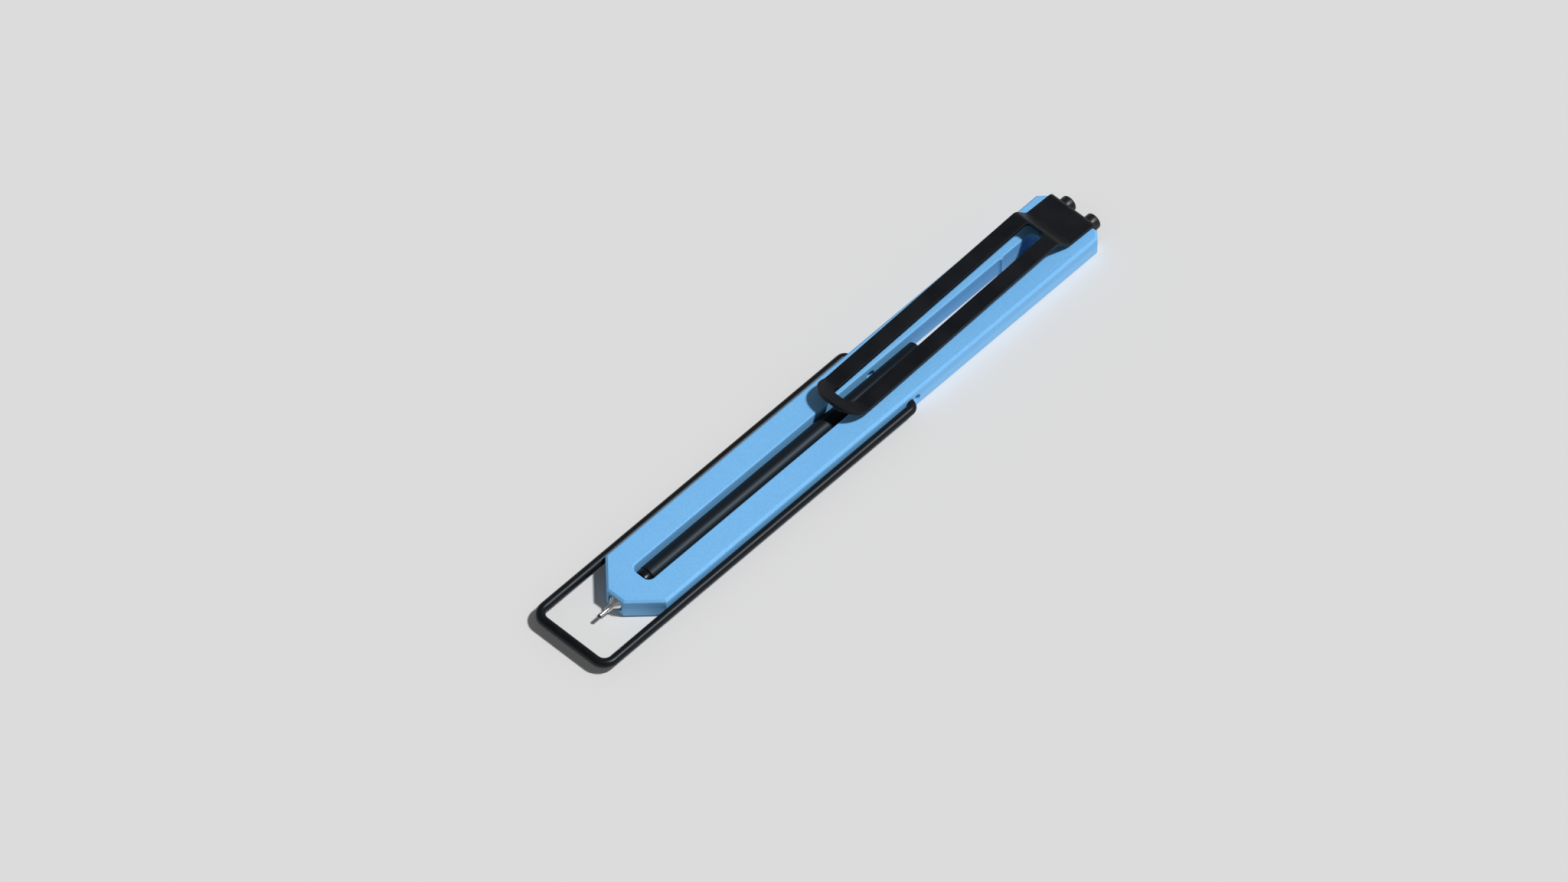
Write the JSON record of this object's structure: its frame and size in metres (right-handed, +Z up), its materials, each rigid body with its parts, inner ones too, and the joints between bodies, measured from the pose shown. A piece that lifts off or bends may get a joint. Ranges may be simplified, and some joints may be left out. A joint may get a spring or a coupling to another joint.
{
  "type": "flat metal-bodied pen with a wire bail",
  "caption": "Flat slotted metal pen: needle-tip refill in a long open slot, swinging wire bail round the tip, bent sheet pocket clip screwed to the rear end.",
  "frame": {"origin": "on the plane the pen lies on, under the middle of the whole pen's bounding box with the bail round the tip", "axes": "+X along the bar towards the rear end with the clip screws, +Y across it to the left, +Z up through it towards the clip"},
  "size_m": [0.1802, 0.0252, 0.0116],
  "materials": {
    "bar": "sky-blue satin anodised",
    "clip": "satin black coated spring steel",
    "screws": "black oxide",
    "bail": "semi-gloss black coated wire",
    "tube": "smooth black plastic tube",
    "plug": "glossy black plastic",
    "tip": "bright turned metal",
    "needle": "bright drawn steel",
    "ball": "dark carbide, wetted with ink",
    "ink": "black ink",
    "follower": "clear grease plug"
  },
  "bodies": {
    "pen_body": {"body_bar": "bar", "pocket_clip": "clip", "clip_screw_left": "screws", "clip_screw_right": "screws", "refill_set_screw": "screws"},
    "bail": {"bail_wire": "bail"},
    "refill": {"refill_tube": "tube", "tip_holder": "plug", "tip_cone": "tip", "needle": "needle", "ink_column": "ink", "ink_follower": "follower"},
    "ball": {"writing_ball": "ball"}
  },
  "joints": [
    {"name": "bail_swing", "type": "hinge", "parent": "pen_body", "child": "bail", "pos_m": [0.01798, 0, 0.003], "axis": [0, 1, 0], "continuous": true},
    {"name": "refill_slide", "type": "slide", "parent": "pen_body", "child": "refill", "axis": [1, 0, 0], "range_m": [0, 0.0325]},
    {"name": "ball_roll", "type": "hinge", "parent": "refill", "child": "ball", "pos_m": [-0.07883, 0, 0.003], "axis": [0, 1, 0], "continuous": true}
  ]
}
